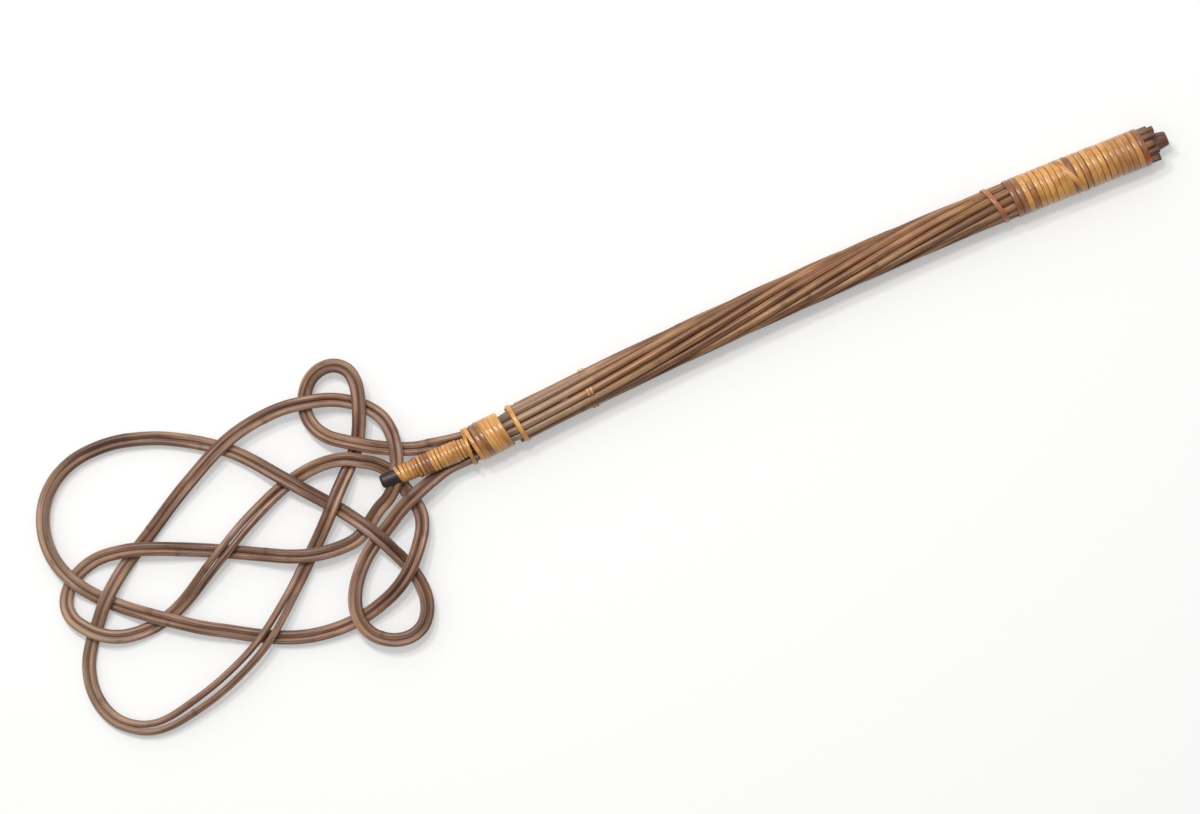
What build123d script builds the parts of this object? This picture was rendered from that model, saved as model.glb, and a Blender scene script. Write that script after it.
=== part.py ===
from build123d import *
import math
import os

# A woven cane carpet beater, lying flat as it does on a table.
# Frame: origin at the centre of the cut butt end, +X out of the butt along the handle,
# +Y across the head, +Z up off the table. All sizes are in millimetres.

# Overall sizes
handle_length = 540.0
neck_length = 37.0
knot_length = 317.0
knot_half_width = 114.0
handle_bow = 6.7

# Canes
cane_diameter = 5.6
pair_gap = 0.3
crossing_clearance = 0.3
fit_clearance = 0.3
cane_radius = cane_diameter / 2
pair_half_pitch = (cane_diameter + pair_gap) / 2

# Handle bundle
handle_cane_count = 12
ring_radius = 11.9
ring_radius_at_grip = 11.2
grip_taper_offset = 22.3
grip_taper_length = 150.0
twist_angle = 230.0
butt_recess = 12.0
butt_stagger = 5.0
butt_stagger_shares = (0.2, 0.9, 0.6, 0.0, 0.4, 0.1, 0.5, 0.3, 0.8, 0.2, 0.7, 1.0)
neck_end_recess = 16.0
neck_end_stagger = 28.0
neck_stagger_shares = (0.79, 0.93, 0.86, 0.71, 0.14, 0.43, 0.89, 0.96, 0.86, 0.61, 0.36, 0.2)
core_radius = 8.0
core_tip_radius = 5.5
core_tip_length = 14.0
tail_length = 50.0

# Split cane bindings: strip width, strip thickness and the winding's places
strip_width = 4.1
strip_thickness = 1.0
strip_edge_share = 0.45
strip_clearance = 0.2
grip_turns = 23
grip_length = 111.5
grip_end_setback = 16.2
rear_band_offset = 10.3
rear_band_pitch = 6.0
mid_tie_recess = 68.0
mid_tie_width = 2.0
mid_tie_gap = 0.8
mid_tie_span_angle = 96.0
mid_tie_canes = (8, 5, 11)
neck_band_recess = 9.0
neck_band_pitch = 4.9
neck_strip_width = 3.3
neck_binding_length = 38.0
neck_spacing_shares = (1.17, 1.15, 0.94, 0.95, 0.93, 0.96, 0.94, 0.96)

# Stick that ties the middle crossing to the neck
stick_radius = 6.3
stick_tail_radius = 3.6
stick_tail_length = 62.0
stick_crown_thickness = 3.2
stick_lip_thickness = 2.2
stick_lip_width = 6.0
stick_lip_depth = 7.0
stick_slot_length = 23.6
stick_tip_setback = 65.5
stick_raise = 2.8
stick_offset = 1.4
stick_offset_at_tip = 2.6
stick_tail_raise = 4.3
tie_strip_width = 2.8
tie_pitch = 3.35
tie_turns = 8

# Weave of the head
knot_drop = 1.5
bend_ease_share = 1.08
route_step = 10.5
arc_straightness = 0.0001

# The doubled strand's centre line, from the upper neck exit round to the lower one,
# as shares of the knot's length and of its half width
route_shares = (
    (0.109, 0.129), (0.150, 0.180), (0.192, 0.245), (0.236, 0.331), (0.276, 0.413),
    (0.299, 0.505), (0.306, 0.627), (0.290, 0.743), (0.262, 0.822), (0.223, 0.852), (0.190, 0.825),
    (0.170, 0.752), (0.171, 0.635), (0.186, 0.505), (0.210, 0.370), (0.237, 0.263), (0.270, 0.171),
    (0.311, 0.064), (0.352, -0.050), (0.395, -0.158), (0.451, -0.290), (0.489, -0.380), (0.533, -0.478),
    (0.583, -0.582), (0.637, -0.672), (0.699, -0.748), (0.763, -0.807), (0.836, -0.852), (0.895, -0.876),
    (0.945, -0.862), (0.983, -0.806), (1.014, -0.720), (1.031, -0.606), (1.034, -0.458), (1.021, -0.323),
    (0.989, -0.180), (0.954, -0.072), (0.913, 0.040), (0.868, 0.140), (0.812, 0.238), (0.760, 0.317),
    (0.711, 0.395), (0.661, 0.471), (0.608, 0.543), (0.561, 0.605), (0.510, 0.661), (0.456, 0.699),
    (0.401, 0.716), (0.353, 0.716), (0.296, 0.689), (0.240, 0.642), (0.196, 0.570), (0.162, 0.480),
    (0.143, 0.388), (0.138, 0.275), (0.145, 0.160), (0.157, 0.070), (0.175, -0.020), (0.193, -0.080),
    (0.237, -0.144), (0.272, -0.205), (0.306, -0.263), (0.353, -0.277), (0.412, -0.256), (0.463, -0.212),
    (0.524, -0.128), (0.584, -0.038), (0.642, 0.046), (0.703, 0.131), (0.764, 0.210), (0.812, 0.262),
    (0.852, 0.288), (0.891, 0.301), (0.932, 0.286), (0.970, 0.242), (0.998, 0.173), (1.012, 0.089),
    (1.009, 0.002), (0.990, -0.085), (0.963, -0.165), (0.925, -0.228), (0.876, -0.257), (0.828, -0.253),
    (0.778, -0.220), (0.736, -0.170), (0.694, -0.106), (0.652, -0.042), (0.606, 0.024), (0.556, 0.097),
    (0.497, 0.170), (0.440, 0.230), (0.395, 0.260), (0.348, 0.276), (0.306, 0.272), (0.263, 0.243),
    (0.228, 0.185), (0.199, 0.126), (0.181, 0.060), (0.170, -0.020), (0.162, -0.100), (0.154, -0.190),
    (0.151, -0.265), (0.156, -0.340), (0.175, -0.430), (0.202, -0.522), (0.233, -0.602), (0.267, -0.665),
    (0.315, -0.718), (0.362, -0.750), (0.412, -0.762), (0.462, -0.754), (0.512, -0.728), (0.570, -0.668),
    (0.621, -0.593), (0.678, -0.494), (0.737, -0.389), (0.792, -0.274), (0.846, -0.158), (0.895, -0.046),
    (0.935, 0.070), (0.968, 0.212), (0.988, 0.350), (0.994, 0.497), (0.986, 0.628), (0.967, 0.746),
    (0.936, 0.846), (0.894, 0.921), (0.850, 0.960), (0.804, 0.970), (0.753, 0.959), (0.701, 0.921),
    (0.648, 0.864), (0.600, 0.790), (0.556, 0.710), (0.512, 0.612), (0.470, 0.487), (0.432, 0.350),
    (0.394, 0.210), (0.354, 0.062), (0.317, -0.075), (0.288, -0.195), (0.262, -0.330), (0.243, -0.461),
    (0.226, -0.590), (0.219, -0.700), (0.220, -0.805), (0.234, -0.905), (0.258, -0.974), (0.290, -0.999),
    (0.321, -0.986), (0.350, -0.943), (0.374, -0.870), (0.385, -0.778), (0.382, -0.676), (0.367, -0.580),
    (0.343, -0.488), (0.315, -0.412), (0.279, -0.342), (0.234, -0.276), (0.190, -0.209), (0.136, -0.150),
)
# Each crossing, in the order in which the strand first meets it: over or under there
first_pass = "UOUOUOUOUOUOOUUUUUUOUO"
# Stretches where the pair lies open, from and to as shares of the route, and how far open
open_shares = ((0.131, 0.198, 0.50), (0.530, 0.578, 0.15))

# Cane tails inside the neck: how far in as a share of the tail, how far out as a share of the
# neck, then the places across and up of the inner and of the outer cane, as shares of the ring.
# The rows after them lead out of the neck, to the knot's upper and lower strand
tail_shares = (
    (1.00, 0.00, 0.255, -0.430, 0.506, 0.000),
    (0.66, 0.00, 0.255, -0.430, 0.506, 0.000),
    (0.33, 0.00, 0.255, -0.430, 0.506, 0.000),
    (0.00, 0.00, 0.260, -0.432, 0.512, -0.005),
    (0.00, 0.28, 0.300, -0.436, 0.580, -0.030),
    (0.00, 0.62, 0.420, -0.448, 0.765, -0.085),
)
upper_exit_shares = (
    (0.00, 1.00, 0.610, -0.490, 0.985, -0.140),
    (0.00, 1.22, 0.700, -0.480, 1.153, -0.160),
    (0.00, 1.46, 0.885, -0.500, 1.362, -0.275),
)
lower_exit_shares = (
    (0.00, 1.00, 0.538, -0.530, 0.780, -0.100),
    (0.00, 1.22, 0.519, -0.602, 0.738, -0.165),
    (0.00, 1.46, 0.559, -0.586, 0.752, -0.115),
    (0.00, 1.75, 0.578, -0.397, 0.945, 0.060),
)

# Sizes that follow
grip_end = grip_end_setback + grip_length
rear_band_setback = grip_end + rear_band_offset
mid_tie_setback = handle_length - mid_tie_recess
neck_band_setback = handle_length - neck_band_recess
grip_outer_radius = ring_radius_at_grip + cane_radius + strip_clearance + strip_thickness
bundle_radius = ring_radius + cane_radius
neck_outer_radius = bundle_radius + strip_clearance + strip_thickness
table_height = -grip_outer_radius
neck_front = -(handle_length + neck_length)
level_height = (cane_diameter + crossing_clearance) / 2 * bend_ease_share
strip_middle = strip_clearance + strip_thickness / 2


def handle_centre(x):
    """Point on the handle's centre line: a shallow bow across, and level wraps on the table."""
    share = -x / handle_length
    rise = (neck_outer_radius - grip_outer_radius) * share
    return Vector(x, 4 * handle_bow * share * (1 - share), rise)


def ease(share):
    """Smooth step from 0 to 1."""
    share = min(max(share, 0), 1)
    return share * share * (3 - 2 * share)


def ring_radius_at(x):
    """The bundle is a little slimmer where the grip binds it."""
    share = (-x - grip_end - grip_taper_offset) / grip_taper_length
    return ring_radius_at_grip + (ring_radius - ring_radius_at_grip) * ease(share)


def around(x, radius, angle):
    """Point at a radius and an angle, in degrees from +Y towards +Z, about the handle."""
    turn = math.radians(angle)
    return handle_centre(x) + Vector(0, radius * math.cos(turn), radius * math.sin(turn))


def tangents_through(points):
    """At each point, the tangent of the circle through it and its two neighbours."""
    found = []
    for i in range(1, len(points) - 1):
        before = points[i] - points[i - 1]
        after = points[i + 1] - points[i]
        mixed = before.normalized() * after.length + after.normalized() * before.length
        found.append(mixed.normalized())
    first = points[1] - points[0]
    last = points[-1] - points[-2]
    start = (first.normalized() * 2 - found[0]).normalized()
    end = (last.normalized() * 2 - found[-1]).normalized()
    return [start] + found + [end]


def arc_or_line(start, tangent, end):
    """An arc that leaves along the tangent, or a line where it would be all but straight."""
    chord = (end - start).normalized()
    if (chord - tangent).length < arc_straightness:
        return Edge.make_line(start, end)
    return Edge.make_tangent_arc(start, tangent, end)


def biarc_path(points, tangents):
    """A smooth wire: two tangent arcs from each point to the next."""
    edges = []
    for i in range(len(points) - 1):
        start, end = points[i], points[i + 1]
        leave, arrive = tangents[i], tangents[i + 1]
        chord = end - start
        both = leave + arrive
        bend = 2 * (1 - leave.dot(arrive))
        along = chord.dot(both)
        if bend < arc_straightness * arc_straightness:
            reach = chord.dot(chord) / (2 * along)
        else:
            reach = (-along + math.sqrt(along * along + bend * chord.dot(chord))) / bend
        middle = ((start + leave * reach) + (end - arrive * reach)) * 0.5
        middle_tangent = ((end - arrive * reach) - (start + leave * reach)).normalized()
        edges.append(arc_or_line(start, leave, middle))
        edges.append(arc_or_line(middle, middle_tangent, end))
    return Wire(edges)


def cane(points, radius=cane_radius):
    """A round cane swept along a smooth path through the points."""
    tangents = tangents_through(points)
    path = biarc_path(points, tangents)
    section = Plane(origin=points[0], z_dir=tangents[0]) * Circle(radius)
    return sweep(section, path=path)


def strip_section(point, tangent, centre, width):
    """The split cane's section: flat against the bundle below it, with a crowned back."""
    side = tangent.cross(point - centre).normalized() * (width / 2)
    up = side.cross(tangent).normalized() * (strip_thickness / 2)
    if up.dot(point - centre) < 0:
        up = up * -1
    shoulder = up * (2 * strip_edge_share - 1)
    left, right = point + side, point - side
    back = Edge.make_three_point_arc(right + shoulder, point + up, left + shoulder)
    flat = Edge.make_line(left - up, right - up)
    right_edge = Edge.make_line(right - up, right + shoulder)
    left_edge = Edge.make_line(left + shoulder, left - up)
    return Face(Wire([flat, right_edge, back, left_edge]))


def winding(name, centre_at, places, start_angle, radius, width):
    """One strip wound round a bundle through a place for each half turn, with straight ends."""
    points = []
    tangents = []
    last = len(places) - 1
    for k, x in enumerate(places):
        turn = math.radians(start_angle) + math.pi * k
        centre = centre_at(x)
        points.append(centre + Vector(0, radius * math.cos(turn), radius * math.sin(turn)))
        before, after = max(k - 1, 0), min(k + 1, last)
        advance = (places[after] - places[before]) / (after - before) / math.pi
        heading = Vector(advance, -radius * math.sin(turn), radius * math.cos(turn))
        tangents.append(heading.normalized())
    lead_in = Edge.make_line(points[0] - tangents[0] * width, points[0])
    lead_out = Edge.make_line(points[-1], points[-1] + tangents[-1] * width)
    turns = biarc_path(points, tangents)
    path = Wire([lead_in] + list(turns.edges()) + [lead_out])
    sections = [strip_section(lead_in @ 0, tangents[0], centre_at(places[0]), width)]
    for point, tangent, x in zip(points, tangents, places):
        sections.append(strip_section(point, tangent, centre_at(x), width))
    sections.append(strip_section(lead_out @ 1, tangents[-1], centre_at(places[-1]), width))
    gaps = [width]
    for k in range(len(places) - 2):
        apart = points[k + 2] - points[k]
        gaps.append(apart.length * math.cos(math.asin(tangents[k].dot(apart.normalized()))) - width)
    print(name, "turns", last / 2, "least gap to itself", round(min(gaps), 2))
    return sweep(sections, path=path, multisection=True)


def evenly(start, length, turns):
    """Places for two steps in each of a number of even turns."""
    return [start + length * k / (2 * turns) for k in range(2 * turns + 1)]


def route_points():
    """The strand's centre line in plan."""
    points = []
    for along, across in route_shares:
        points.append(Vector(neck_front - along * knot_length, across * knot_half_width, 0))
    return points


def running_lengths(points):
    """Length from the first point to each point."""
    lengths = [0]
    for a, b in zip(points, points[1:]):
        lengths.append(lengths[-1] + (b - a).length)
    return lengths


def crossings(points):
    """Where the plan line crosses itself: both lengths along it, and the sine of the angle."""
    lengths = running_lengths(points)
    found = []
    for i in range(len(points) - 1):
        p, r = points[i], points[i + 1] - points[i]
        for j in range(i + 2, len(points) - 1):
            q, s = points[j], points[j + 1] - points[j]
            cross = r.X * s.Y - r.Y * s.X
            if cross == 0:
                continue
            gap = q - p
            t = (gap.X * s.Y - gap.Y * s.X) / cross
            u = (gap.X * r.Y - gap.Y * r.X) / cross
            if 0 <= t < 1 and 0 <= u < 1:
                sine = abs(cross) / (r.length * s.length)
                found.append((lengths[i] + t * r.length, lengths[j] + u * s.length, sine))
    return sorted(found)


def level_marks(points):
    """Along the route, each passage of a crossing: length, level and half length kept level.

    The strand comes into the knot low and goes out of it high.
    """
    marks = []
    for (first, second, sine), letter in zip(crossings(points), first_pass):
        level = 1 if letter == "O" else -1
        cosine = math.sqrt(max(0, 1 - sine * sine))
        flat = pair_half_pitch * (1 + cosine) / sine
        marks.append((first, level, flat))
        marks.append((second, -level, flat))
    length = running_lengths(points)[-1]
    return [(0, -1, pair_half_pitch)] + sorted(marks) + [(length, 1, pair_half_pitch)]


def level_at(length, marks):
    """Level of the strand, from -1 under to 1 over, at a length along the route."""
    for (a, level_a, flat_a), (b, level_b, flat_b) in zip(marks, marks[1:]):
        if a <= length <= b:
            room = b - a
            fit = min(1, room / 2 / (flat_a + flat_b))
            start, end = a + flat_a * fit, b - flat_b * fit
            return level_a + (level_b - level_a) * ease((length - start) / (end - start))
    return marks[-1][1]


def knot_middle(x):
    """Height of the knot's middle plane, which droops from the neck to the table."""
    at_neck = handle_centre(neck_front).Z - knot_drop
    at_far = table_height + cane_radius + level_height
    share = (neck_front - x) / knot_length
    return at_neck + (at_far - at_neck) * min(share, 1)


def opening_at(share):
    """How far the pair lies open at a share of the route."""
    extra = 0
    for start, end, wide in open_shares:
        if start < share < end:
            extra = wide * cane_diameter / 2 * math.sin(math.pi * (share - start) / (end - start))
    return extra


def tail(side, outer):
    """Points of one cane tail in the neck, from deep in the handle out to the knot."""
    placed = []
    exit_shares = upper_exit_shares if side > 0 else lower_exit_shares
    for inside, outside, in_y, in_z, out_y, out_z in tail_shares + exit_shares:
        x = -(handle_length - tail_length * inside + neck_length * outside)
        across, up = (out_y, out_z) if outer else (in_y, in_z)
        placed.append(handle_centre(x) + Vector(0, side * across * ring_radius, up * ring_radius))
    return placed


def head_cane(outer):
    """One of the two canes of the doubled strand, with its two tails."""
    plan = route_points()
    line = biarc_path(plan, tangents_through(plan))
    steps = round(line.length / route_step)
    fine = [line @ (k / (2 * steps)) for k in range(2 * steps + 1)]
    marks = level_marks(fine)
    length = running_lengths(fine)[-1]
    side = -1 if outer else 1
    points = tail(1, outer)
    for k in range(steps + 1):
        share = k / steps
        centre = line @ share
        heading = (line % share).normalized()
        offset = side * (pair_half_pitch + opening_at(share))
        x, y = centre.X - heading.Y * offset, centre.Y + heading.X * offset
        level = level_at(share * length, marks)
        points.append(Vector(x, y, knot_middle(x) + level * level_height))
    return cane(points + tail(-1, outer)[::-1])


def handle_cane(number):
    """One cane of the bundle, laid round the core in a slow left-hand twist."""
    start = -(butt_recess - butt_stagger * butt_stagger_shares[number])
    end = -(handle_length - neck_end_recess + neck_end_stagger * neck_stagger_shares[number])
    steps = round((start - end) / (cane_diameter * 4))
    points = []
    for k in range(steps + 1):
        x = start + (end - start) * k / steps
        turned = twist_angle * (1 - math.cos(math.pi * min(-x / handle_length, 1))) / 2
        angle = 360 * number / handle_cane_count + turned
        points.append(around(x, ring_radius_at(x), angle))
    return cane(points)


def handle_core():
    """The stick in the middle of the bundle, narrowed where it shows at the butt."""
    end = -(handle_length - tail_length) + 2 * fit_clearance
    steps = round(handle_length / (core_radius * 4))
    length = end + core_tip_length
    points = [handle_centre(-core_tip_length + length * k / steps) for k in range(steps + 1)]
    shaft = cane(points, core_radius)
    first = tangents_through(points)[0]
    base = Plane(origin=points[0], z_dir=first * -1) * Circle(core_radius)
    face = Plane(origin=(0, 0, 0), z_dir=(1, 0, 0)) * Circle(core_tip_radius)
    return shaft + loft([base, face])


def crossing_ceiling():
    """Height just above the two strands where they cross in the middle of the neck side."""
    slot_end = neck_front - stick_tip_setback + stick_lip_thickness + stick_slot_length
    return knot_middle(slot_end) + level_height + cane_radius + fit_clearance


def stick_centre(x):
    """Centre line of the tie stick, from above the middle crossing up into the neck."""
    at_neck = handle_centre(neck_front) + Vector(0, stick_offset, stick_raise)
    slot_x = neck_front - stick_tip_setback + stick_lip_thickness + stick_slot_length / 2
    at_slot_z = crossing_ceiling() + stick_crown_thickness - stick_radius
    share = (neck_front - x) / (neck_front - slot_x)
    slot_y = handle_centre(neck_front).Y + stick_offset_at_tip
    return Vector(x, at_neck.Y + (slot_y - at_neck.Y) * share, at_neck.Z + (at_slot_z - at_neck.Z) * share)


def tie_stick():
    """Round stick with a hooked end that sits over the middle crossing."""
    tip_x = neck_front - stick_tip_setback
    tip, root = stick_centre(tip_x), stick_centre(neck_front)
    along = (root - tip).normalized()
    body_length = (root - tip).length
    frame = Plane(origin=tip, x_dir=(0, 1, 0), z_dir=along)
    body = extrude(frame * Circle(stick_radius), amount=body_length)
    top = body.edges().filter_by(GeomType.CIRCLE).sort_by(Axis.X)[0]
    body = fillet(top, stick_lip_thickness)
    # below the crown, the level slot that the two strands pass through
    deep = stick_radius * 4
    ceiling = crossing_ceiling()
    slot_x = tip_x + stick_lip_thickness + stick_slot_length / 2
    body -= Pos(slot_x, tip.Y, ceiling - deep / 2) * Box(stick_slot_length, deep, deep)
    # the lip is narrower than the crown and shallower than the stick
    for side in (1, -1):
        middle = tip.Y + side * (stick_lip_width + deep) / 2
        body -= Pos(tip_x, middle, ceiling - deep / 2) * Box(stick_slot_length, deep, deep)
    body -= Pos(tip_x, tip.Y, ceiling - stick_lip_depth - deep / 2) * Box(stick_slot_length, deep, deep)
    # slim tail inside the neck
    tail_start = stick_centre(neck_front - stick_tail_radius)
    tail_x = neck_front + stick_tail_length
    tail_end = handle_centre(tail_x) + Vector(0, 0, stick_tail_raise)
    heading = (tail_end - tail_start).normalized()
    tail_face = Plane(origin=tail_start, z_dir=heading) * Circle(stick_tail_radius)
    return body + extrude(tail_face, amount=(tail_end - tail_start).length)


def mid_tie():
    """The short lengths of a narrow tie that show over single canes."""
    x = -mid_tie_setback
    bits = []
    for number in mid_tie_canes:
        turned = twist_angle * (1 - math.cos(math.pi * -x / handle_length)) / 2
        angle = 360 * number / handle_cane_count + turned
        lean = math.radians(angle)
        middle = around(x, ring_radius_at(x), angle)
        for side in (1, -1):
            shift = Vector(side * (mid_tie_width + mid_tie_gap) / 2, 0, 0)
            place = Plane(origin=middle + shift, x_dir=(0, math.cos(lean), math.sin(lean)), z_dir=(1, 0, 0))
            inner = cane_radius + strip_clearance
            half = mid_tie_span_angle / 2
            arc = CenterArc((0, 0), inner + strip_thickness / 2, -half, mid_tie_span_angle)
            band = place * trace(arc, strip_thickness)
            bits.append(extrude(band, amount=mid_tie_width / 2, both=True))
    return Compound(children=bits)


def write(name, shape):
    """Write one node."""
    export_step(shape, "parts/" + name + ".step")


def main():
    os.makedirs("parts", exist_ok=True)
    write("head_cane_inner", head_cane(False))
    write("head_cane_outer", head_cane(True))
    for number in range(handle_cane_count):
        write("handle_cane_%02d" % (number + 1), handle_cane(number))
    write("handle_core", handle_core())
    write("tie_stick", tie_stick())

    grip_start = -grip_end + strip_width / 2
    places = evenly(grip_start, grip_length - strip_width, grip_turns)
    grip_radius = ring_radius_at_grip + cane_radius + strip_middle
    write("grip_binding", winding("grip_binding", handle_centre, places, -90, grip_radius, strip_width))

    spacing = (neck_binding_length - neck_strip_width) / len(neck_spacing_shares)
    places = [neck_front + neck_strip_width / 2]
    for share in neck_spacing_shares:
        places += [places[-1] + spacing * share / 2, places[-1] + spacing * share]
    bundle_wrap_radius = bundle_radius + strip_middle
    write("neck_binding", winding("neck_binding", handle_centre, places, -90, bundle_wrap_radius,
                                  neck_strip_width))

    places = evenly(-neck_band_setback, neck_band_pitch, 1)
    write("neck_end_band", winding("neck_end_band", handle_centre, places, -90, bundle_wrap_radius,
                                   strip_width))

    # the rear band's ends lie side by side underneath, so its top lies aslant
    places = evenly(-rear_band_setback - rear_band_pitch / 2, rear_band_pitch, 1)
    rear_radius = ring_radius_at(-rear_band_setback) + cane_radius + strip_middle
    write("rear_band", winding("rear_band", handle_centre, places, -90, rear_radius, strip_width))

    tie_start = neck_front - stick_tip_setback + stick_lip_thickness + stick_slot_length + tie_strip_width
    places = evenly(tie_start, tie_pitch * tie_turns, tie_turns)
    write("tie_binding", winding("tie_binding", stick_centre, places, -90, stick_radius + strip_middle,
                                 tie_strip_width))
    write("mid_tie", mid_tie())


main()
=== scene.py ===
import math
import random

import bmesh
import bpy
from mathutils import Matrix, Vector


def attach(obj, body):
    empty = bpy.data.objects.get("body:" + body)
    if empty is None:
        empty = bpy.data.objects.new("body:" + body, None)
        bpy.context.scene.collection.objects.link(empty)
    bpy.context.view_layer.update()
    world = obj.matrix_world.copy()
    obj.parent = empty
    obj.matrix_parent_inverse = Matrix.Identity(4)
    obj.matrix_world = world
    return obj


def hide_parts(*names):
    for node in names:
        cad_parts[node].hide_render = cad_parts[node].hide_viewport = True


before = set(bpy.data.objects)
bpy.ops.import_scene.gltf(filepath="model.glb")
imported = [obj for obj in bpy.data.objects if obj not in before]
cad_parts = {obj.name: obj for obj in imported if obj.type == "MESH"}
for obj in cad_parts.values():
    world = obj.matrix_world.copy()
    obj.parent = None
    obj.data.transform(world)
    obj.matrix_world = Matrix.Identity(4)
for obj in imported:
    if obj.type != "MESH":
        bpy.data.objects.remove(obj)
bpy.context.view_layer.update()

# All lengths here are in millimetres until a mesh is made, which is in metres.
MM = 0.001

# Sizes that the solids have too
HANDLE_LENGTH = 540.0
NECK_LENGTH = 37.0
KNOT_LENGTH = 317.0
KNOT_HALF_WIDTH = 114.0
HANDLE_BOW = 6.7
CANE = 5.6
CANE_RADIUS = CANE / 2
PAIR_CLEARANCE = 0.3
PAIR_HALF_PITCH = (CANE + PAIR_CLEARANCE) / 2
CROSSING_CLEARANCE = 0.3
BEND_EASE = 1.08
HANDLE_CANES = 12
RING_RADIUS = 11.9
RING_RADIUS_AT_GRIP = 11.2
GRIP_END = 127.7
SWELL_START = GRIP_END + 22.3
SWELL_LENGTH = 150.0
TWIST = 230.0
BUTT_RECESS = 12.0
BUTT_STAGGER = 5.0
BUTT_SHARES = (0.2, 0.9, 0.6, 0.0, 0.4, 0.1, 0.5, 0.3, 0.8, 0.2, 0.7, 1.0)
NECK_END_RECESS = 16.0
NECK_END_STAGGER = 28.0
NECK_SHARES = (0.79, 0.93, 0.86, 0.71, 0.14, 0.43, 0.89, 0.96, 0.86, 0.61, 0.36, 0.2)
TAIL_LENGTH = 50.0
STRIP = 1.0
STRIP_LIFT = 0.2
BUNDLE_RADIUS = RING_RADIUS + CANE_RADIUS
GRIP_OUTER = RING_RADIUS_AT_GRIP + CANE_RADIUS + STRIP_LIFT + STRIP
NECK_OUTER = BUNDLE_RADIUS + STRIP_LIFT + STRIP
TABLE = -GRIP_OUTER
NECK_FRONT = -(HANDLE_LENGTH + NECK_LENGTH)
KNOT_DROP = 1.5
LEVEL = (CANE + CROSSING_CLEARANCE) / 2 * BEND_EASE
STICK_RADIUS = 6.3
STICK_REACH = 65.5
STICK_TIP = NECK_FRONT - STICK_REACH
STICK_LIP = 2.2
STICK_SLOT = 23.6
STICK_SLOT_END = STICK_TIP + STICK_LIP + STICK_SLOT
STICK_CROWN = 3.2
STICK_RAISE = 2.8
STICK_OFFSET = 1.4
STICK_OFFSET_AT_SLOT = 2.6

# Sizes that only the seen pieces have: the head's canes lie closer together, and the neck's
# winding draws the ends of the handle's canes in
HEAD_RADIUS = 2.74
HANDLE_RADIUS = 2.88
PAIR_HALF_SEEN = 2.60
NECK_DRAW = 1.5

# Where a change begins, measured along the handle from the butt end, and how long it is. The
# butt's darkening, which is painted shade with the cut ends' own darker tone, is measured the other way.
NECK_DRAW_STRETCH = (534, 10)
HEAD_FADE_STRETCH = (830, 60)
HANDLE_FADE_STRETCH = (420, 110)
NECK_DARKENING_STRETCH = (528, 14)
BUTT_DARKENING_STRETCH = (-19, 6)

# Steps between points along the lines
PLAN_STEP = 1.0
HEAD_STEPS = 238
HEAD_STEP = 3.0
HANDLE_STEPS = 120
WINDING_STEPS = 44

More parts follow.
